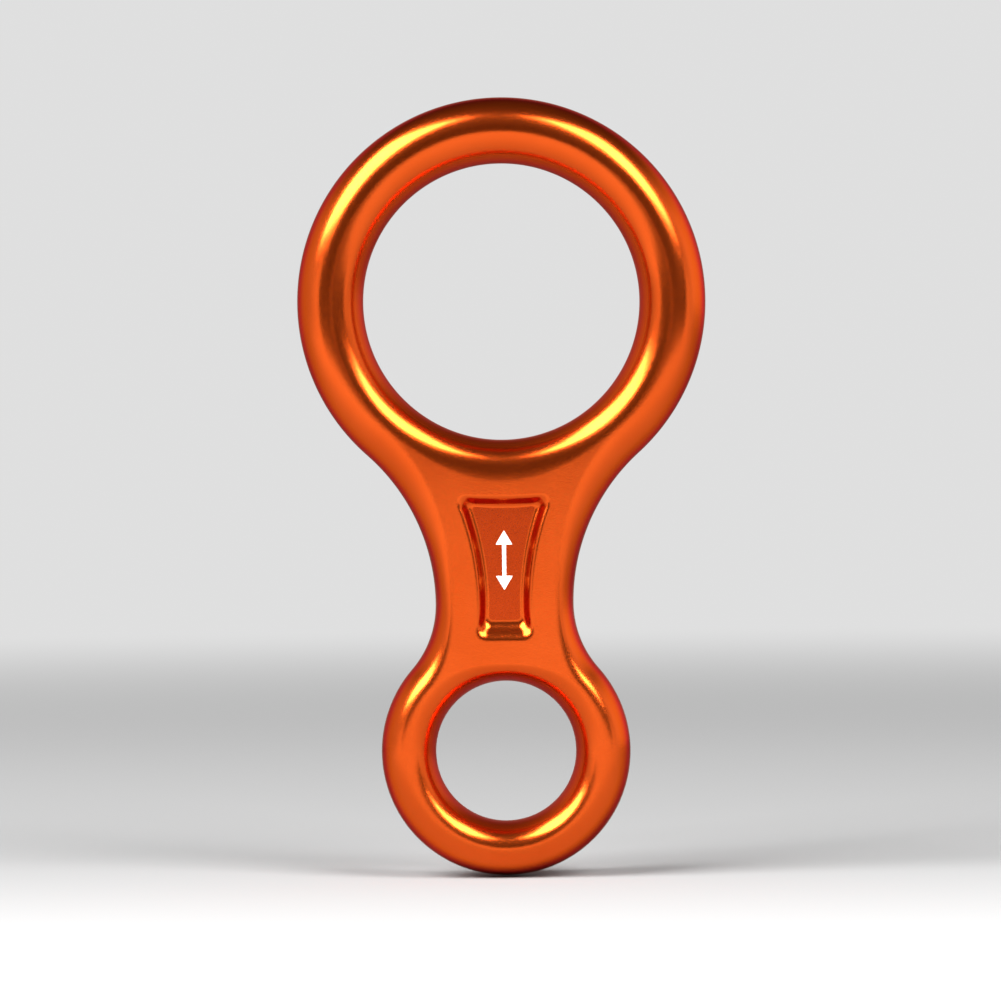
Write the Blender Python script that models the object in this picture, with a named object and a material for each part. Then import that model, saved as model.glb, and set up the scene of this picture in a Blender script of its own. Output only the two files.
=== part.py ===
"""Figure-eight rope descender: one hot-forged aluminium body with a large rope eye, a small
carabiner eye and a neck between them. A panel is sunk into each face of the neck, and a printed
load-direction arrow lies in each panel.

Frame, in metres: the origin is the centre of the rope eye, +Z runs from the carabiner eye to the
rope eye, X runs across the body, and the front faces -Y.

Run with: blender --background --python part.py
"""

import math

import bmesh
import bpy

# Driving dimensions of the forging
BODY_LENGTH = 0.120
BODY_THICKNESS = 0.012
ROPE_RING_RADIUS = 0.0315
ROPE_EYE_RADIUS = 0.0213
SMALL_RING_RADIUS = 0.0192
SMALL_EYE_RADIUS = 0.0108
WAIST_HALF_WIDTH = 0.01065
WAIST_DROP = 0.0466             # from the rope eye's centre down to the narrowest section
WAIST_ROUNDING = 0.0030         # how far the rounded edge reaches in from the waist's sides
SMALL_EYE_NECK_ROUNDING = 0.0029  # the same at the top of the carabiner eye, under the neck

# The panel sunk into each face of the neck
PANEL_TOP = -0.0301
PANEL_BOTTOM = -0.0516
PANEL_SIDE_MARGIN = 0.0066      # from the neck's side to the panel's side, square to both
PANEL_TOP_NARROWING = 0.0005    # how much this margin grows from the waist to the panel's top
PANEL_CORNER = 0.0014
FLOOR_CORNER = 0.0007
PANEL_TOP_BOW = 0.0003
PANEL_DEPTH = 0.0016
WALL_RUN = 0.0012               # how far the sloped top and side walls reach inwards
BOTTOM_WALL_RUN = 0.0018
CUTTER_RISE = 0.0005            # how far the panel's cutter stands out of the face

# The load-direction arrow printed in each panel
MARK_LENGTH = 0.0092
MARK_STEM_WIDTH = 0.0006
MARK_HEAD_WIDTH = 0.0026
MARK_HEAD_LENGTH = 0.0022
MARK_CENTRE_Z = -0.0398
MARK_THICKNESS = 0.0003
FITTING_GAP = 0.0003

# Facets
RING_STEPS = 24                 # along the rope ring's arc on one side, and so on below
UPPER_NECK_STEPS = 8
LOWER_NECK_STEPS = 5
SMALL_RING_STEPS = 17
ROPE_EYE_NECK_STEPS = 8
SMALL_EYE_NECK_STEPS = 7
SECTION_STEPS = 12              # round the half ellipse from the front crest to the rear crest
CORNER_STEPS = 4
SIDE_STEPS = 8
TOP_STEPS = 3

# Worked out from the above
HALF_THICKNESS = BODY_THICKNESS / 2
SMALL_EYE_Z = ROPE_RING_RADIUS + SMALL_RING_RADIUS - BODY_LENGTH
ROPE_RING_ROUNDING = (ROPE_RING_RADIUS - ROPE_EYE_RADIUS) / 2
SMALL_RING_ROUNDING = (SMALL_RING_RADIUS - SMALL_EYE_RADIUS) / 2
MERGE_DISTANCE = 0.000001


def neck_arc_radius(ring_radius, drop):
    """Radius of the concave arc that leaves the ring tangentially and is upright at the waist."""
    return (WAIST_HALF_WIDTH**2 + drop**2 - ring_radius**2) / (2 * (ring_radius - WAIST_HALF_WIDTH))


UPPER_DROP = WAIST_DROP
LOWER_DROP = -SMALL_EYE_Z - WAIST_DROP
UPPER_ARC_RADIUS = neck_arc_radius(ROPE_RING_RADIUS, UPPER_DROP)
LOWER_ARC_RADIUS = neck_arc_radius(SMALL_RING_RADIUS, LOWER_DROP)
UPPER_ARC_X = WAIST_HALF_WIDTH + UPPER_ARC_RADIUS
LOWER_ARC_X = WAIST_HALF_WIDTH + LOWER_ARC_RADIUS
UPPER_TURN = math.atan2(UPPER_DROP, UPPER_ARC_X)
LOWER_TURN = math.atan2(LOWER_DROP, LOWER_ARC_X)


def ease(part):
    """Smooth step from 0 to 1."""
    return part * part * (3 - 2 * part)


def arc(centre, radius, angles, steps, metal_side, roundings):
    """Stations along an arc of an edge, without its last point.

    A station is a point, the unit direction from it into the metal, and the rounding's reach.
    metal_side is -1 where the metal lies towards the arc's centre and 1 where it lies outside.
    """
    stations = []
    for step in range(steps):
        part = step / steps
        angle = angles[0] + (angles[1] - angles[0]) * part
        across = math.cos(angle)
        up = math.sin(angle)
        reach = roundings[0] + (roundings[1] - roundings[0]) * ease(part)
        stations.append((centre[0] + radius * across, centre[1] + radius * up,
                         metal_side * across, metal_side * up, reach))
    return stations


def mirrored_loop(right_side, last):
    """Closed loop of stations from the right half, its last station, and the right half mirrored."""
    left_side = [(-x, z, -into_x, into_z, reach) for x, z, into_x, into_z, reach in right_side[1:]]
    return right_side + [last] + left_side[::-1]


def outline_stations():
    """Outer edge of the body, clockwise from the top of the rope ring."""
    top = math.pi / 2
    bottom = -math.pi / 2
    right_side = arc((0, 0), ROPE_RING_RADIUS, (top, -UPPER_TURN), RING_STEPS, -1,
                     (ROPE_RING_ROUNDING, ROPE_RING_ROUNDING))
    right_side += arc((UPPER_ARC_X, -WAIST_DROP), UPPER_ARC_RADIUS, (math.pi - UPPER_TURN, math.pi),
                      UPPER_NECK_STEPS, 1, (ROPE_RING_ROUNDING, WAIST_ROUNDING))
    right_side += arc((LOWER_ARC_X, -WAIST_DROP), LOWER_ARC_RADIUS, (math.pi, math.pi + LOWER_TURN),
                      LOWER_NECK_STEPS, 1, (WAIST_ROUNDING, SMALL_RING_ROUNDING))
    right_side += arc((0, SMALL_EYE_Z), SMALL_RING_RADIUS, (LOWER_TURN, bottom), SMALL_RING_STEPS, -1,
                      (SMALL_RING_ROUNDING, SMALL_RING_ROUNDING))
    last = (0, SMALL_EYE_Z - SMALL_RING_RADIUS, 0, 1, SMALL_RING_ROUNDING)
    return mirrored_loop(right_side, last)


def rope_eye_stations():
    """Edge of the rope eye: the ring's own steps, then finer ones under the neck."""
    right_side = arc((0, 0), ROPE_EYE_RADIUS, (math.pi / 2, -UPPER_TURN), RING_STEPS, 1,
                     (ROPE_RING_ROUNDING, ROPE_RING_ROUNDING))
    right_side += arc((0, 0), ROPE_EYE_RADIUS, (-UPPER_TURN, -math.pi / 2), ROPE_EYE_NECK_STEPS, 1,
                      (ROPE_RING_ROUNDING, ROPE_RING_ROUNDING))
    last = (0, -ROPE_EYE_RADIUS, 0, -1, ROPE_RING_ROUNDING)
    return mirrored_loop(right_side, last)


def small_eye_stations():
    """Edge of the carabiner eye, with its narrower rounding where the neck meets it."""
    centre = (0, SMALL_EYE_Z)
    right_side = arc(centre, SMALL_EYE_RADIUS, (math.pi / 2, LOWER_TURN), SMALL_EYE_NECK_STEPS, 1,
                     (SMALL_EYE_NECK_ROUNDING, SMALL_RING_ROUNDING))
    right_side += arc(centre, SMALL_EYE_RADIUS, (LOWER_TURN, -math.pi / 2), SMALL_RING_STEPS, 1,
                      (SMALL_RING_ROUNDING, SMALL_RING_ROUNDING))
    last = (0, SMALL_EYE_Z - SMALL_EYE_RADIUS, 0, -1, SMALL_RING_ROUNDING)
    return mirrored_loop(right_side, last)


def add_rounded_edge(mesh, stations):
    """Sweep a half ellipse along an edge, from the front crest round to the rear crest."""
    rows = []
    for x, z, into_x, into_z, reach in stations:
        row = []
        for step in range(SECTION_STEPS + 1):
            turn = math.pi * (step / SECTION_STEPS - 0.5)
            inset = reach * (1 - math.cos(turn))
            row.append(mesh.verts.new((x + into_x * inset, HALF_THICKNESS * math.sin(turn),
                                       z + into_z * inset)))
        rows.append(row)
    for row, next_row in zip(rows, rows[1:] + rows[:1]):
        for step in range(SECTION_STEPS):
            mesh.faces.new((row[step], row[step + 1], next_row[step + 1], next_row[step]))


def panel_half_width(z, margin):
    """Half width of the panel at a height, for a margin from the neck's side at the waist."""
    above_waist = z + WAIST_DROP
    if above_waist > 0:
        margin += PANEL_TOP_NARROWING * (above_waist / (PANEL_TOP + WAIST_DROP)) ** 2
        return UPPER_ARC_X - math.sqrt((UPPER_ARC_RADIUS + margin) ** 2 - above_waist**2)
    return LOWER_ARC_X - math.sqrt((LOWER_ARC_RADIUS + margin) ** 2 - above_waist**2)


def panel_loop(depth):
    """Outline of the panel at a depth below the face, clockwise from the middle of its top edge.

    Its sides follow the neck's sides, its corners are round and its top edge bows downwards.
    """
    share = depth / PANEL_DEPTH
    margin = PANEL_SIDE_MARGIN + WALL_RUN * share
    top = PANEL_TOP - WALL_RUN * share
    corner = PANEL_CORNER + (FLOOR_CORNER - PANEL_CORNER) * share
    side_top = top - corner
    side_bottom = PANEL_BOTTOM + BOTTOM_WALL_RUN * share + corner
    top_half_width = panel_half_width(top, margin)
    right_side = []
    for step in range(TOP_STEPS):
        right_side.append(((top_half_width - corner) * step / TOP_STEPS, top))
    for step in range(CORNER_STEPS):
        turn = math.pi / 2 * step / CORNER_STEPS
        z = side_top + corner * math.cos(turn)
        right_side.append((panel_half_width(z, margin) - corner * (1 - math.sin(turn)), z))
    for step in range(SIDE_STEPS):
        z = side_top + (side_bottom - side_top) * step / SIDE_STEPS
        right_side.append((panel_half_width(z, margin), z))
    for step in range(CORNER_STEPS + 1):
        turn = math.pi / 2 * step / CORNER_STEPS
        z = side_bottom - corner * math.sin(turn)
        right_side.append((panel_half_width(z, margin) - corner * (1 - math.cos(turn)), z))
    bowed = [(x, z - PANEL_TOP_BOW * (1 - (x / top_half_width) ** 2) if z > side_top else z)
             for x, z in right_side]
    return bowed + [(-x, z) for x, z in bowed[:0:-1]]


def new_object(name, mesh, material=None):
    """Turn a bmesh into a named object whose faces point outwards."""
    bmesh.ops.recalc_face_normals(mesh, faces=mesh.faces)
    data = bpy.data.meshes.new(name)
    mesh.to_mesh(data)
    mesh.free()
    if material:
        data.materials.append(material)
    item = bpy.data.objects.new(name, data)
    bpy.context.collection.objects.link(item)
    return item


def new_material(name, colour, roughness, metallic):
    material = bpy.data.materials.new(name)
    material.use_nodes = True
    shader = material.node_tree.nodes["Principled BSDF"]
    shader.inputs["Base Color"].default_value = (*colour, 1)
    shader.inputs["Roughness"].default_value = roughness
    shader.inputs["Metallic"].default_value = metallic
    return material


def make_panel_cutter(name, facing):
    """Cutter for the panel in one face of the neck; facing is -1 at the front and 1 at the rear."""
    mesh = bmesh.new()
    loops = []
    for depth in (-CUTTER_RISE, PANEL_DEPTH):
        y = facing * (HALF_THICKNESS - depth)
        loops.append([mesh.verts.new((x, y, z)) for x, z in panel_loop(depth)])
        mesh.faces.new(loops[-1])
    outer, floor = loops
    for index in range(len(outer)):
        mesh.faces.new((outer[index - 1], outer[index], floor[index], floor[index - 1]))
    cutter = new_object(name, mesh)
    cutter.hide_render = True
    cutter.display_type = "WIRE"
    return cutter


def make_body(material):
    """The forging: three rounded edges meet at the rings' crests, and flat faces close the neck."""
    mesh = bmesh.new()
    for stations in (outline_stations(), rope_eye_stations(), small_eye_stations()):
        add_rounded_edge(mesh, stations)
    bmesh.ops.remove_doubles(mesh, verts=mesh.verts, dist=MERGE_DISTANCE)
    bmesh.ops.holes_fill(mesh, edges=[edge for edge in mesh.edges if edge.is_boundary], sides=0)
    body = new_object("descender_body", mesh, material)
    for name, facing in (("front_panel_cutter", -1), ("rear_panel_cutter", 1)):
        cut = body.modifiers.new(name, "BOOLEAN")
        cut.operation = "DIFFERENCE"
        cut.solver = "EXACT"
        cut.object = make_panel_cutter(name, facing)
    body.data.shade_smooth()
    body.data.set_sharp_from_angle(angle=math.radians(35))
    return body


def make_load_mark(name, facing, material):
    """Thin arrow with a head at each end, lying in the panel along the body's length."""
    half_length = MARK_LENGTH / 2
    shoulder = half_length - MARK_HEAD_LENGTH
    quarter = [(MARK_HEAD_WIDTH / 2, shoulder), (MARK_STEM_WIDTH / 2, shoulder)]
    right_side = quarter + [(x, -z) for x, z in quarter[::-1]]
    outline = [(0, half_length)] + right_side + [(0, -half_length)] + [(-x, z) for x, z in right_side[::-1]]
    floor_y = facing * (HALF_THICKNESS - PANEL_DEPTH + FITTING_GAP)
    mesh = bmesh.new()
    face = mesh.faces.new([mesh.verts.new((x, floor_y, MARK_CENTRE_Z + z)) for x, z in outline])
    extruded = bmesh.ops.extrude_face_region(mesh, geom=[face])
    lifted = [item for item in extruded["geom"] if isinstance(item, bmesh.types.BMVert)]
    bmesh.ops.translate(mesh, verts=lifted, vec=(0, facing * MARK_THICKNESS, 0))
    return new_object(name, mesh, material)


for old_object in list(bpy.data.objects):
    bpy.data.objects.remove(old_object)

anodised_orange = new_material("anodised_orange", (0.83, 0.13, 0.012), 0.28, 1.0)
mark_white = new_material("mark_white", (0.82, 0.80, 0.76), 0.5, 0.0)
make_body(anodised_orange)
make_load_mark("front_load_mark", -1, mark_white)
make_load_mark("rear_load_mark", 1, mark_white)
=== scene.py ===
"""Looks of the figure-eight rope descender: the forging's smooth surface with its sunk panels, the
printed load marks, the anodised and printed finishes, a pale floor, soft lights and the camera.

Frame, in metres: the origin is the centre of the rope eye, +Z runs from the carabiner eye to the
rope eye, X runs across the body, and the front faces -Y.
"""

import math

import bmesh
import bpy
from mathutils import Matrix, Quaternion, Vector


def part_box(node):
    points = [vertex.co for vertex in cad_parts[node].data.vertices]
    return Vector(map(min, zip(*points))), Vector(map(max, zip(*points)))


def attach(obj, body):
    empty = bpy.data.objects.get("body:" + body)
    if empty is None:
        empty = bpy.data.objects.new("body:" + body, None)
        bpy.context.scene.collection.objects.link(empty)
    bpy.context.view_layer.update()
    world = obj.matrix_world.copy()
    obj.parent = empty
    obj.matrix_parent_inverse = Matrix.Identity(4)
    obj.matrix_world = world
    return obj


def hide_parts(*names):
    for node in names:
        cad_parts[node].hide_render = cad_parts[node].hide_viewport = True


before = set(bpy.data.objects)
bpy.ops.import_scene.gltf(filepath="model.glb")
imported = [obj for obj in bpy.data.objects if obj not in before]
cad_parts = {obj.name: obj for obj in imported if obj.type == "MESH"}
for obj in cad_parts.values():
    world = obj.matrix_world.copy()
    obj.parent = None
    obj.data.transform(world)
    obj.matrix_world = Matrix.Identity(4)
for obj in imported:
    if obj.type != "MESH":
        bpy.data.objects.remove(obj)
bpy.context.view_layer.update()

body_low, body_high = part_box("descender_body")
body_middle = (Vector(body_low) + Vector(body_high)) / 2

# The forging, from the frame where it can be read there and otherwise as in the CAD
HALF_THICKNESS = body_high[1]
ROPE_RING_RADIUS = body_high[2]
ROPE_EYE_RADIUS = 0.0213
SMALL_RING_RADIUS = 0.0192
SMALL_EYE_RADIUS = 0.0108
SMALL_EYE_Z = body_low[2] + SMALL_RING_RADIUS
WAIST_HALF_WIDTH = 0.01065
WAIST_DROP = 0.0466
WAIST_ROUNDING = 0.0030
SMALL_EYE_NECK_ROUNDING = 0.0029
ROPE_EYE_FADE = 0.0015          # how much further the rope eye's rounding fades out under the neck
FADE_POWER = 50                 # keeps that fade to the last of the rounding, beside the flat face
ROPE_RING_ROUNDING = (ROPE_RING_RADIUS - ROPE_EYE_RADIUS) / 2
SMALL_RING_ROUNDING = (SMALL_RING_RADIUS - SMALL_EYE_RADIUS) / 2

# The panel sunk into each face of the neck. The margin is from the neck's side to the panel's side.
LIP = {"margin": 0.0062, "top": -0.0294, "bottom": -0.0524, "corner": 0.0023}
FOOT = {"margin": 0.0083, "top": -0.0315, "bottom": -0.0490, "corner": 0.0007}
PANEL_TOP_NARROWING = 0.0005
PANEL_TOP_BOW = 0.0003
PANEL_DEPTH = 0.0016

# The load mark printed on the panel's floor
MARK_LENGTH = 0.0092
MARK_STEM_WIDTH = 0.0006
MARK_HEAD_WIDTH = 0.0026
MARK_HEAD_LENGTH = 0.0022
MARK_CENTRE_Z = -0.0398
INK_THICKNESS = 0.00003
INK_CORNER = 0.00010
INK_CORNER_STEPS = 3
ROUND_PROFILE = 0.5             # what a bevel calls a round one

# Signs for the two faces, by Y, and for the side of an edge's arc that the metal lies on
FRONT = -1
REAR = 1
METAL_INSIDE = -1
METAL_OUTSIDE = 1

# Steps of the fine surface
RING_STEPS = 110
UPPER_NECK_STEPS = 32
LOWER_NECK_STEPS = 18
SMALL_RING_STEPS = 70
ROPE_EYE_NECK_STEPS = 34
SMALL_EYE_NECK_STEPS = 26
SECTION_STEPS = 44
WALL_STEPS = 16
TOP_STEPS = 12
CORNER_STEPS = 10
SIDE_STEPS = 40
MERGE_DISTANCE = 0.000001       # points closer than this are the same point
PANEL_FINISH = 1                # place of the panel floors' material, rougher and darkened as painted shade, after the outer finish's 0

# The anodised finish: dye colours, darker colours that are painted shade on the panel floors and the
# eyes' inner walls, oxide coat, and noise scales in turns per metre
DYE_DEEP = (0.72, 0.088, 0.007)
DYE_LIGHT = (0.76, 0.097, 0.009)
# the panel floors' dye, darkened as painted shade in the sunk panel
PANEL_DYE_AND_SHADE_DEEP = (0.52, 0.048, 0.003)
PANEL_DYE_AND_SHADE_LIGHT = (0.56, 0.054, 0.004)
DYE_SCALE = 90
DYE_DETAIL = 3
DYE_NOISE = (0.35, 0.65)        # the span of the noise's values that the dye runs through
EDGE_TINT = (0.42, 0.18, 0.07)  # of what the dyed metal reflects at a grazing angle
# painted shade: the darker colour that the eyes' inner walls turn to
EYE_PAINTED_SHADE = (0.57, 0.072, 0.006)
EYE_ROUGHNESS = 0.34
EYE_DEPTH = (0.0006, 0.0028)    # where the eyes' rougher finish and painted shade fade out, by distance from their edge
COAT = 0.12
COAT_ROUGHNESS = 0.20
OXIDE_IOR = 1.5
GRAIN_SCALE = 5600
GRAIN_DETAIL = 2
GRAIN_NOISE = (0.3, 0.7)        # the same span for the fine grain, and for the ink
GRAIN_ROUGHNESS = (0.16, 0.24)
PANEL_ROUGHNESS = (0.24, 0.34)
GRAIN_HEIGHT = 0.000012
WAVE_SCALE = 320
WAVE_DETAIL = 2
WAVE_HEIGHT = 0.000005

# The ink
INK_THIN = (0.72, 0.66, 0.60)
INK_FULL = (0.86, 0.84, 0.80)
INK_SCALE = 2600
INK_DETAIL = 3
INK_ROUGHNESS = (0.55, 0.42)
INK_HEIGHT = 0.000006

# The soft lights: azimuth and elevation in degrees, width and height, and radiance
SOFT_LIGHTS = {
    "key_light": (-54, 42, 1.10, 1.15, 18),
    "fill_light": (42, 41, 0.75, 1.10, 16),
}
LIGHT_DISTANCE = 1.6

# The room and the floor
WHITE = (1, 1, 1, 1)
BLACK = (0, 0, 0, 1)
PALE_ROOM = 0.74                # brightness of the backdrop behind the object and beside it
FRONT_BAND = 1.18               # brightness of the low pale band in front of the object
RIGHT_WALL = 1.15               # brightness of the backdrop to the object's right
RIGHT_EDGE = (0.25, 0.80)       # where that wall begins and is reached, by X of the direction
DARK_ROOM = 0.11
FRONT_EDGE = (-0.75, -0.05)     # where the pale backdrop begins, by the Y part of the direction
TOP_EDGE = (0.35, 0.80)         # where it ends, by the Z part of the direction
LOW_EDGE = (0.16, 0.22)         # where the pale band round the whole room ends, likewise
FLOOR_RADIUS = 3.0
FLOOR_SEGMENTS = 96
FLOOR_GAP = 0.0002
FLOOR_ROUGHNESS = 0.9
FLOOR_GREYS = (0.39, 0.25)      # of the paper in front of the object and behind it: lighter in front and darker behind as painted light and shade
FLOOR_TURN = (-0.2, 0.1)        # where the first turns into the second, by Y
FLOOR_FADE = (0.35, 1.1)        # from the paper's own shading to a glow as bright as the room, by distance

# Dark card in front of the object, as its corners across and up. Its lower edge rises in the middle,
# opposite the neck, whose flat face reflects the pale band below it.
FLAG_Y = -0.267
FLAG_OUTLINE = [(-0.28, 0.112), (-0.28, -0.050), (-0.034, -0.026), (-0.012, -0.010),
                (0.012, -0.010), (0.034, -0.026), (0.40, -0.060), (0.40, 0.112)]

# The camera, in metres and degrees where nothing else is said
FRAME_WIDTH = 0.1545            # what the picture is wide at the object
CAMERA_DISTANCE = 0.80
CAMERA_ELEVATION = 0.6
CAMERA_ROLL = 0.63
AIM_POINT = Vector((-0.00046, 0, -0.03068))
SENSOR_WIDTH = 36               # in millimetres


def neck_arc_radius(ring_radius, drop):
    """Radius of the concave arc that leaves the ring tangentially and is upright at the waist."""
    return (WAIST_HALF_WIDTH**2 + drop**2 - ring_radius**2) / (2 * (ring_radius - WAIST_HALF_WIDTH))


LOWER_DROP = -SMALL_EYE_Z - WAIST_DROP
UPPER_ARC_RADIUS = neck_arc_radius(ROPE_RING_RADIUS, WAIST_DROP)
LOWER_ARC_RADIUS = neck_arc_radius(SMALL_RING_RADIUS, LOWER_DROP)
UPPER_ARC_X = WAIST_HALF_WIDTH + UPPER_ARC_RADIUS
LOWER_ARC_X = WAIST_HALF_WIDTH + LOWER_ARC_RADIUS
UPPER_TURN = math.atan2(WAIST_DROP, UPPER_ARC_X)
LOWER_TURN = math.atan2(LOWER_DROP, LOWER_ARC_X)


def ease(part):
    """Smooth step from 0 to 1."""
    return part * part * (3 - 2 * part)


def soft_ease(part):
    """Step from 0 to 1 that also starts and ends without curvature."""
    return part**3 * (10 - 15 * part + 6 * part * part)


def arc(centre, radius, angles, steps, metal_side, roundings, fades=(0, 0)):
    """Stations along an arc of an edge, without its last point.

    A station is a point, the unit direction from it into the metal, the rounding's reach, and how
    much further it fades into a flat face. The metal lies inside the arc, towards its centre, or
    outside it.
    """
    stations = []
    for step in range(steps):
        part = step / steps
        angle = angles[0] + (angles[1] - angles[0]) * part
        across = math.cos(angle)
        up = math.sin(angle)
        reach, fade = [ends[0] + (ends[1] - ends[0]) * ease(part) for ends in (roundings, fades)]
        stations.append((centre[0] + radius * across, centre[1] + radius * up,
                         metal_side * across, metal_side * up, reach, fade))
    return stations


def mirrored_loop(right_side, last):
    """Closed loop of stations from the right half, its last station, and the right half mirrored."""
    left_side = [(-x, z, -into_x, into_z, reach, fade)
                 for x, z, into_x, into_z, reach, fade in right_side[1:]]
    return right_side + [last] + left_side[::-1]


def outline_stations():
    """Outer edge of the body, clockwise from the top of the rope ring."""
    right_side = arc((0, 0), ROPE_RING_RADIUS, (math.pi / 2, -UPPER_TURN), RING_STEPS,
                     METAL_INSIDE, (ROPE_RING_ROUNDING, ROPE_RING_ROUNDING))
    right_side += arc((UPPER_ARC_X, -WAIST_DROP), UPPER_ARC_RADIUS, (math.pi - UPPER_TURN, math.pi),
                      UPPER_NECK_STEPS, METAL_OUTSIDE, (ROPE_RING_ROUNDING, WAIST_ROUNDING))
    right_side += arc((LOWER_ARC_X, -WAIST_DROP), LOWER_ARC_RADIUS, (math.pi, math.pi + LOWER_TURN),
                      LOWER_NECK_STEPS, METAL_OUTSIDE, (WAIST_ROUNDING, SMALL_RING_ROUNDING))
    right_side += arc((0, SMALL_EYE_Z), SMALL_RING_RADIUS, (LOWER_TURN, -math.pi / 2),
                      SMALL_RING_STEPS, METAL_INSIDE, (SMALL_RING_ROUNDING, SMALL_RING_ROUNDING))
    last = (0, SMALL_EYE_Z - SMALL_RING_RADIUS, 0, 1, SMALL_RING_ROUNDING, 0)
    return mirrored_loop(right_side, last)


def rope_eye_stations():
    """Edge of the rope eye: the ring's own steps, then those under the neck."""
    roundings = (ROPE_RING_ROUNDING, ROPE_RING_ROUNDING)
    right_side = arc((0, 0), ROPE_EYE_RADIUS, (math.pi / 2, -UPPER_TURN), RING_STEPS,
                     METAL_OUTSIDE, roundings)
    right_side += arc((0, 0), ROPE_EYE_RADIUS, (-UPPER_TURN, -math.pi / 2), ROPE_EYE_NECK_STEPS,
                      METAL_OUTSIDE, roundings, (0, ROPE_EYE_FADE))
    last = (0, -ROPE_EYE_RADIUS, 0, -1, ROPE_RING_ROUNDING, ROPE_EYE_FADE)
    return mirrored_loop(right_side, last)


def small_eye_stations():
    """Edge of the carabiner eye, with its narrower rounding where the neck meets it."""
    centre = (0, SMALL_EYE_Z)
    right_side = arc(centre, SMALL_EYE_RADIUS, (math.pi / 2, LOWER_TURN), SMALL_EYE_NECK_STEPS,
                     METAL_OUTSIDE, (SMALL_EYE_NECK_ROUNDING, SMALL_RING_ROUNDING))
    right_side += arc(centre, SMALL_EYE_RADIUS, (LOWER_TURN, -math.pi / 2), SMALL_RING_STEPS,
                      METAL_OUTSIDE, (SMALL_RING_ROUNDING, SMALL_RING_ROUNDING))
    last = (0, SMALL_EYE_Z - SMALL_EYE_RADIUS, 0, -1, SMALL_RING_ROUNDING, 0)
    return mirrored_loop(right_side, last)


def add_rounded_edge(mesh, stations):
    """Sweep a half ellipse along an edge, from the front crest round to the rear crest."""
    rows = []
    for x, z, into_x, into_z, reach, fade in stations:
        row = []
        for step in range(SECTION_STEPS + 1):
            turn = math.pi * (step / SECTION_STEPS - 0.5)
            inset = reach * (1 - math.cos(turn)) + fade * abs(math.sin(turn)) ** FADE_POWER
            row.append(mesh.verts.new((x + into_x * inset, HALF_THICKNESS * math.sin(turn),
                                       z + into_z * inset)))
        rows.append(row)
    for row, next_row in zip(rows, rows[1:] + rows[:1]):
        for step in range(SECTION_STEPS):
            mesh.faces.new((row[step], row[step + 1], next_row[step + 1], next_row[step]))


def panel_half_width(z, margin):
    """Half width of the panel at a height, for a margin from the neck's side at the waist."""
    above_waist = z + WAIST_DROP
    if above_waist > 0:
        margin += PANEL_TOP_NARROWING * (above_waist / (LIP["top"] + WAIST_DROP)) ** 2
        return UPPER_ARC_X - math.sqrt((UPPER_ARC_RADIUS + margin) ** 2 - above_waist**2)
    return LOWER_ARC_X - math.sqrt((LOWER_ARC_RADIUS + margin) ** 2 - above_waist**2)


def panel_loop(share):
    """Outline of the panel's wall, from its lip at share 0 to its foot at share 1.

    It runs clockwise from the middle of its top edge. Its sides follow the neck's sides, its
    corners are round and its top edge bows downwards.
    """
    margin, top, bottom, corner = [LIP[key] + (FOOT[key] - LIP[key]) * share for key in LIP]
    side_top = top - corner
    side_bottom = bottom + corner
    top_half_width = panel_half_width(top, margin)
    right_side = []
    for step in range(TOP_STEPS):
        right_side.append(((top_half_width - corner) * step / TOP_STEPS, top))
    for step in range(CORNER_STEPS):
        turn = math.pi / 2 * step / CORNER_STEPS
        z = side_top + corner * math.cos(turn)
        right_side.append((panel_half_width(z, margin) - corner * (1 - math.sin(turn)), z))
    for step in range(SIDE_STEPS):
        z = side_top + (side_bottom - side_top) * step / SIDE_STEPS
        right_side.append((panel_half_width(z, margin), z))
    for step in range(CORNER_STEPS + 1):
        turn = math.pi / 2 * step / CORNER_STEPS
        z = side_bottom - corner * math.sin(turn)
        right_side.append((panel_half_width(z, margin) - corner * (1 - math.cos(turn)), z))
    bowed = [(x, z - PANEL_TOP_BOW * (1 - (x / top_half_width) ** 2) if z > side_top else z)
             for x, z in right_side]
    return bowed + [(-x, z) for x, z in bowed[:0:-1]]


def add_panel(mesh, facing):
    """Sink the panel into one face: a wall that rolls over at its lip and its foot, and a floor."""
    loops = []
    for step in range(WALL_STEPS + 1):
        share = step / WALL_STEPS
        y = facing * (HALF_THICKNESS - PANEL_DEPTH * soft_ease(share))
        loops.append([mesh.verts.new((x, y, z)) for x, z in panel_loop(share)])
    for outer, inner in zip(loops, loops[1:]):
        for index in range(len(outer)):
            mesh.faces.new((outer[index - 1], outer[index], inner[index], inner[index - 1]))
    mesh.faces.new(loops[-1]).material_index = PANEL_FINISH


def close_neck(mesh, facing):
    """Fill the flat face between the rounded edges and the panel's lip."""
    edges = [edge for edge in mesh.edges if edge.is_boundary
             and all(abs(vert.co.y - facing * HALF_THICKNESS) < MERGE_DISTANCE for vert in edge.verts)]
    bmesh.ops.triangle_fill(mesh, use_beauty=True, use_dissolve=False, edges=edges)


def new_object(name, data):
    """Put a mesh, light or camera into the scene."""
    item = bpy.data.objects.new(name, data)
    bpy.context.collection.objects.link(item)
    return item


def new_mesh_object(name, mesh, material):
    """Turn a bmesh into an object of one material."""
    data = bpy.data.meshes.new(name)
    mesh.to_mesh(data)
    mesh.free()
    data.materials.append(material)
    return new_object(name, data)


def new_piece(name, mesh, material, node):
    """Turn a bmesh into a piece that rides on the root body and stands for a CAD node."""
    bmesh.ops.recalc_face_normals(mesh, faces=mesh.faces)
    piece = new_mesh_object(name, mesh, material)
    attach(piece, "root")
    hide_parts(node)
    return piece


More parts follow.
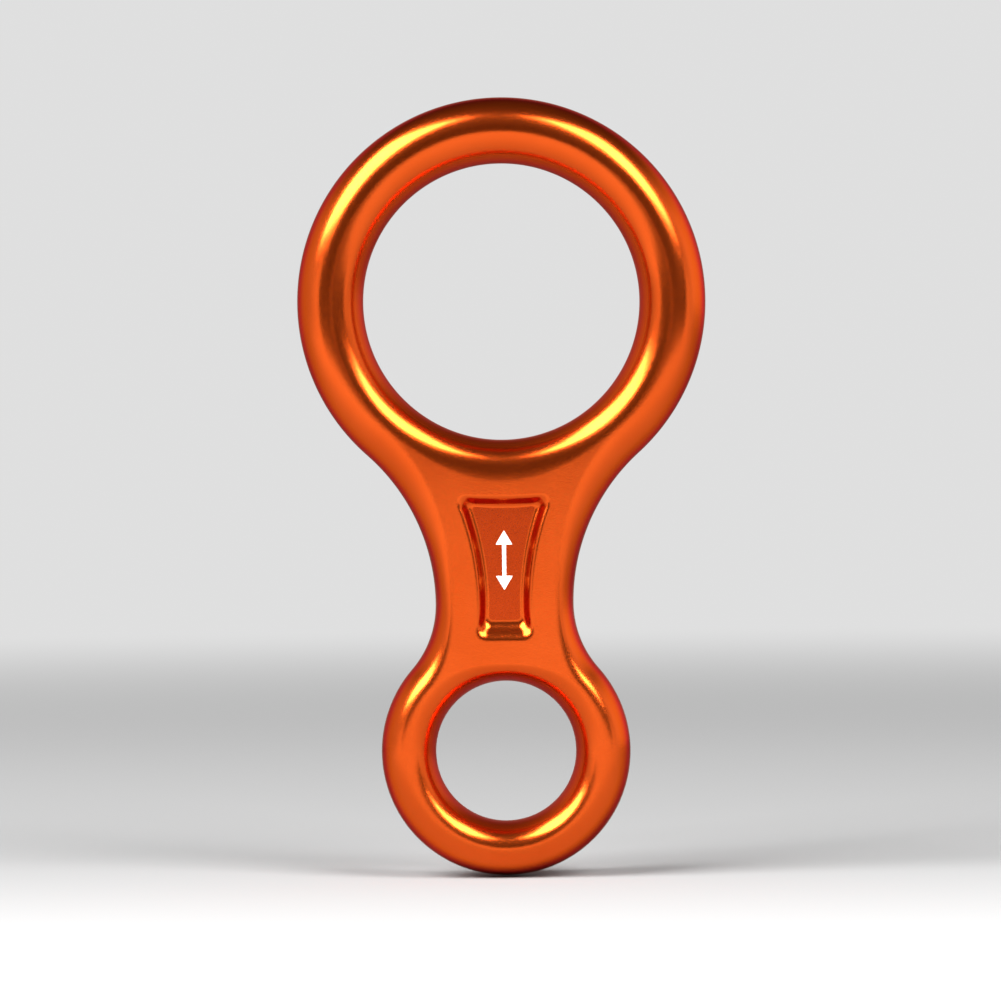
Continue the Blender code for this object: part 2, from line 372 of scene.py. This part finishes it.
def make_body(outer_finish, panel_finish_and_shade):
    """The forging, shaded smooth, with normals that keep the flat faces flat."""
    mesh = bmesh.new()
    for stations in (outline_stations(), rope_eye_stations(), small_eye_stations()):
        add_rounded_edge(mesh, stations)
    bmesh.ops.remove_doubles(mesh, verts=mesh.verts, dist=MERGE_DISTANCE)
    for facing in (FRONT, REAR):
        add_panel(mesh, facing)
        close_neck(mesh, facing)
    body = new_piece("forged_body", mesh, outer_finish, "descender_body")
    body.data.materials.append(panel_finish_and_shade)
    body.data.shade_smooth()
    even_normals = body.modifiers.new("even_normals", "WEIGHTED_NORMAL")
    even_normals.mode = "FACE_AREA"
    return body


def make_load_print(name, facing, material, node):
    """Thin layer of ink in the shape of an arrow with a head at each end."""
    half_length = MARK_LENGTH / 2
    shoulder = half_length - MARK_HEAD_LENGTH
    quarter = [(MARK_HEAD_WIDTH / 2, shoulder), (MARK_STEM_WIDTH / 2, shoulder)]
    right_side = quarter + [(x, -z) for x, z in quarter[::-1]]
    left_side = [(-x, z) for x, z in right_side[::-1]]
    outline = [(0, half_length)] + right_side + [(0, -half_length)] + left_side
    floor_y = facing * (HALF_THICKNESS - PANEL_DEPTH)
    mesh = bmesh.new()
    face = mesh.faces.new([mesh.verts.new((x, floor_y, MARK_CENTRE_Z + z)) for x, z in outline])
    bmesh.ops.bevel(mesh, geom=face.verts[:], offset=INK_CORNER, segments=INK_CORNER_STEPS,
                    profile=ROUND_PROFILE, affect="VERTICES")
    extruded = bmesh.ops.extrude_face_region(mesh, geom=mesh.faces[:])
    lifted = [item for item in extruded["geom"] if isinstance(item, bmesh.types.BMVert)]
    bmesh.ops.translate(mesh, verts=lifted, vec=(0, facing * INK_THICKNESS, 0))
    return new_piece(name, mesh, material, node)


def new_material(name):
    """Empty Principled material, with its node tree and its shader."""
    material = bpy.data.materials.new(name)
    material.use_nodes = True
    tree = material.node_tree
    return material, tree, tree.nodes["Principled BSDF"]


def object_position(tree):
    """The surface's position in the object's own frame."""
    return tree.nodes.new("ShaderNodeTexCoord").outputs["Object"]


def noise(tree, scale, detail):
    """Noise over the surface, at a scale in turns per metre."""
    texture = tree.nodes.new("ShaderNodeTexNoise")
    texture.inputs["Scale"].default_value = scale
    texture.inputs["Detail"].default_value = detail
    tree.links.new(object_position(tree), texture.inputs["Vector"])
    return texture.outputs["Fac"]


def map_range(tree, value, limits, results, smooth=False):
    """A value carried from one span to another, and held at the second one's ends."""
    node = tree.nodes.new("ShaderNodeMapRange")
    if smooth:
        node.interpolation_type = "SMOOTHSTEP"
    tree.links.new(value, node.inputs["Value"])
    node.inputs["From Min"].default_value, node.inputs["From Max"].default_value = limits
    node.inputs["To Min"].default_value, node.inputs["To Max"].default_value = results
    return node.outputs["Result"]


def blend_colour(tree, share, first, second):
    """Mix of two colours, each a socket or red, green and blue."""
    node = tree.nodes.new("ShaderNodeMix")
    node.data_type = "RGBA"
    tree.links.new(share, node.inputs["Factor"])
    for socket, colour in zip((node.inputs["A"], node.inputs["B"]), (first, second)):
        if isinstance(colour, tuple):
            socket.default_value = (*colour, 1)
        else:
            tree.links.new(colour, socket)
    return node.outputs["Result"]


def bump(tree, height, distance, normal=None):
    """Normal of a relief that is distance metres high where height is 1, over another normal."""
    node = tree.nodes.new("ShaderNodeBump")
    node.inputs["Distance"].default_value = distance
    tree.links.new(height, node.inputs["Height"])
    if normal:
        tree.links.new(normal, node.inputs["Normal"])
    return node.outputs["Normal"]


def maths(tree, operation, first, second):
    """Result of one operation on two values, each a socket or a number."""
    node = tree.nodes.new("ShaderNodeMath")
    node.operation = operation
    for socket, value in zip(node.inputs, (first, second)):
        if isinstance(value, (int, float)):
            socket.default_value = value
        else:
            tree.links.new(value, socket)
    return node.outputs[0]


def vector_maths(tree, operation, first, second=(0, 0, 0)):
    """Node for one operation on a vector socket and a fixed vector."""
    node = tree.nodes.new("ShaderNodeVectorMath")
    node.operation = operation
    tree.links.new(first, node.inputs[0])
    node.inputs[1].default_value = second
    return node


def split_vector(tree, vector):
    """The X, Y and Z sockets of a vector."""
    node = tree.nodes.new("ShaderNodeSeparateXYZ")
    tree.links.new(vector, node.inputs[0])
    return node.outputs


def share_in_eye(tree, centre_z, radius):
    """1 on an eye's inner wall, falling to 0 on the ring's face: where the rougher finish and the
    painted shade go.
    """
    flat_position = vector_maths(tree, "MULTIPLY", object_position(tree), (1, 0, 1)).outputs["Vector"]
    distance = vector_maths(tree, "DISTANCE", flat_position, (0, 0, centre_z))
    limits = (radius + EYE_DEPTH[0], radius + EYE_DEPTH[1])
    return map_range(tree, distance.outputs["Value"], limits, (1, 0), smooth=True)


def make_anodised(name, deep, light, roughness):
    """Blasted and dyed aluminium: fine grain, faint forged waviness and an uneven dye, with the eyes'
    inner walls rougher and darkened as painted shade.
    """
    material, tree, shader = new_material(name)
    shader.inputs["Metallic"].default_value = 1
    shader.inputs["Coat Weight"].default_value = COAT
    shader.inputs["Coat Roughness"].default_value = COAT_ROUGHNESS
    shader.inputs["Coat IOR"].default_value = OXIDE_IOR
    dye = map_range(tree, noise(tree, DYE_SCALE, DYE_DETAIL), DYE_NOISE, (0, 1))
    in_eye = maths(tree, "MAXIMUM", share_in_eye(tree, 0, ROPE_EYE_RADIUS),
                   share_in_eye(tree, SMALL_EYE_Z, SMALL_EYE_RADIUS))
    # inside the eyes the colour darkens to painted shade
    colour = blend_colour(tree, in_eye, blend_colour(tree, dye, deep, light), EYE_PAINTED_SHADE)
    tree.links.new(colour, shader.inputs["Base Color"])
    shader.inputs["Specular Tint"].default_value = (*EDGE_TINT, 1)
    grain = noise(tree, GRAIN_SCALE, GRAIN_DETAIL)
    rough = maths(tree, "MAXIMUM", map_range(tree, grain, GRAIN_NOISE, roughness),
                  maths(tree, "MULTIPLY", in_eye, EYE_ROUGHNESS))
    tree.links.new(rough, shader.inputs["Roughness"])
    waves = bump(tree, noise(tree, WAVE_SCALE, WAVE_DETAIL), WAVE_HEIGHT)
    tree.links.new(bump(tree, grain, GRAIN_HEIGHT, waves), shader.inputs["Normal"])
    return material


def make_white_ink():
    """Pad-printed ink, a little uneven in cover and matt."""
    material, tree, shader = new_material("white_ink")
    cover = map_range(tree, noise(tree, INK_SCALE, INK_DETAIL), GRAIN_NOISE, (0, 1))
    tree.links.new(blend_colour(tree, cover, INK_THIN, INK_FULL), shader.inputs["Base Color"])
    tree.links.new(map_range(tree, cover, (0, 1), INK_ROUGHNESS), shader.inputs["Roughness"])
    tree.links.new(bump(tree, cover, INK_HEIGHT), shader.inputs["Normal"])
    return material


def direction(azimuth, elevation):
    """Unit vector. Azimuth 0 points at the camera, and a positive one turns towards +X."""
    across = math.radians(azimuth)
    up = math.radians(elevation)
    return Vector((math.sin(across) * math.cos(up), -math.cos(across) * math.cos(up), math.sin(up)))


def aim(item, target, roll=0):
    """Point an object's -Z axis at a target, turned by roll degrees about the line of sight."""
    line = target - item.location
    item.rotation_mode = "QUATERNION"
    item.rotation_quaternion = Quaternion(line, math.radians(roll)) @ line.to_track_quat("-Z", "Y")


def make_soft_light(name, azimuth, elevation, width, height, radiance):
    """Panel of light facing the object from a bearing, hidden from the camera."""
    data = bpy.data.lights.new(name, "AREA")
    data.shape = "RECTANGLE"
    data.size = width
    data.size_y = height
    data.energy = radiance * math.pi * width * height
    lamp = new_object(name, data)
    lamp.location = body_middle + direction(azimuth, elevation) * LIGHT_DISTANCE
    aim(lamp, body_middle)
    lamp.visible_camera = False


def make_room():
    """Light from the room: pale behind and beside the object and low down all round, else dark."""
    world = bpy.data.worlds.new("studio")
    bpy.context.scene.world = world
    world.use_nodes = True
    tree = world.node_tree
    background = tree.nodes["Background"]
    line = split_vector(tree, tree.nodes.new("ShaderNodeTexCoord").outputs["Generated"])
    behind = map_range(tree, line["Y"], FRONT_EDGE, (0, 1), smooth=True)
    low = map_range(tree, line["Z"], TOP_EDGE, (1, 0), smooth=True)
    below = map_range(tree, line["Z"], LOW_EDGE, (1, 0), smooth=True)
    wall = map_range(tree, line["X"], RIGHT_EDGE, (PALE_ROOM, RIGHT_WALL), smooth=True)
    backdrop = maths(tree, "MULTIPLY", maths(tree, "MULTIPLY", behind, low), wall)
    band = maths(tree, "MULTIPLY", below, map_range(tree, behind, (0, 1), (FRONT_BAND, PALE_ROOM)))
    pale = maths(tree, "MAXIMUM", backdrop, band)
    tree.links.new(maths(tree, "MAXIMUM", pale, DARK_ROOM), background.inputs["Strength"])
    background.inputs["Color"].default_value = WHITE


def make_floor_paper():
    """Pale paper, which glows with the room's brightness far from the object, so that no edge shows,
    and is painted lighter in front of the object and darker behind it.
    """
    material, tree, shader = new_material("floor_paper")
    shader.inputs["Roughness"].default_value = FLOOR_ROUGHNESS
    shader.inputs["Specular IOR Level"].default_value = 0
    place = object_position(tree)
    grey = map_range(tree, split_vector(tree, place)["Y"], FLOOR_TURN, FLOOR_GREYS, smooth=True)
    tree.links.new(grey, shader.inputs["Base Color"])
    line = split_vector(tree, vector_maths(tree, "NORMALIZE", place).outputs["Vector"])
    glow = map_range(tree, line["Y"], FRONT_EDGE, (FRONT_BAND, PALE_ROOM), smooth=True)
    shine = tree.nodes.new("ShaderNodeEmission")
    tree.links.new(glow, shine.inputs["Strength"])
    distance = vector_maths(tree, "LENGTH", place).outputs["Value"]
    far = map_range(tree, distance, FLOOR_FADE, (0, 1), smooth=True)
    mix = tree.nodes.new("ShaderNodeMixShader")
    tree.links.new(far, mix.inputs[0])
    tree.links.new(shader.outputs[0], mix.inputs[1])
    tree.links.new(shine.outputs[0], mix.inputs[2])
    tree.links.new(mix.outputs[0], tree.nodes["Material Output"].inputs["Surface"])
    return material


def make_floor():
    """Disc of paper under the object."""
    mesh = bmesh.new()
    bmesh.ops.create_circle(mesh, cap_ends=True, radius=FLOOR_RADIUS, segments=FLOOR_SEGMENTS)
    floor = new_mesh_object("studio_floor", mesh, make_floor_paper())
    floor.location.z = body_low[2] - FLOOR_GAP


def make_flag():
    """Dark card that only reflections see: it keeps the ring's front crest dark."""
    material, _, shader = new_material("flag_felt")
    shader.inputs["Base Color"].default_value = BLACK
    shader.inputs["Specular IOR Level"].default_value = 0
    shader.inputs["Emission Color"].default_value = WHITE
    shader.inputs["Emission Strength"].default_value = DARK_ROOM
    mesh = bmesh.new()
    mesh.faces.new([mesh.verts.new((x, FLAG_Y, z)) for x, z in FLAG_OUTLINE])
    flag = new_mesh_object("front_flag", mesh, material)
    flag.visible_camera = False
    flag.visible_diffuse = False
    flag.visible_shadow = False


def make_camera():
    """The photo's view of the object, with plain colours."""
    data = bpy.data.cameras.new("camera")
    data.sensor_width = SENSOR_WIDTH
    data.lens = SENSOR_WIDTH * CAMERA_DISTANCE / FRAME_WIDTH
    camera = new_object("camera", data)
    camera.location = AIM_POINT + direction(0, CAMERA_ELEVATION) * CAMERA_DISTANCE
    aim(camera, AIM_POINT, CAMERA_ROLL)
    bpy.context.scene.camera = camera
    bpy.context.scene.view_settings.view_transform = "Standard"


# the panel floors' material is rougher, and darker as painted shade in the recess
make_body(make_anodised("anodised_orange", DYE_DEEP, DYE_LIGHT, GRAIN_ROUGHNESS),
          make_anodised("anodised_panel_painted_shade", PANEL_DYE_AND_SHADE_DEEP, PANEL_DYE_AND_SHADE_LIGHT, PANEL_ROUGHNESS))
white_ink = make_white_ink()
make_load_print("front_load_print", FRONT, white_ink, "front_load_mark")
make_load_print("rear_load_print", REAR, white_ink, "rear_load_mark")
for name, values in SOFT_LIGHTS.items():
    make_soft_light(name, *values)
make_room()
make_floor()
make_flag()
make_camera()
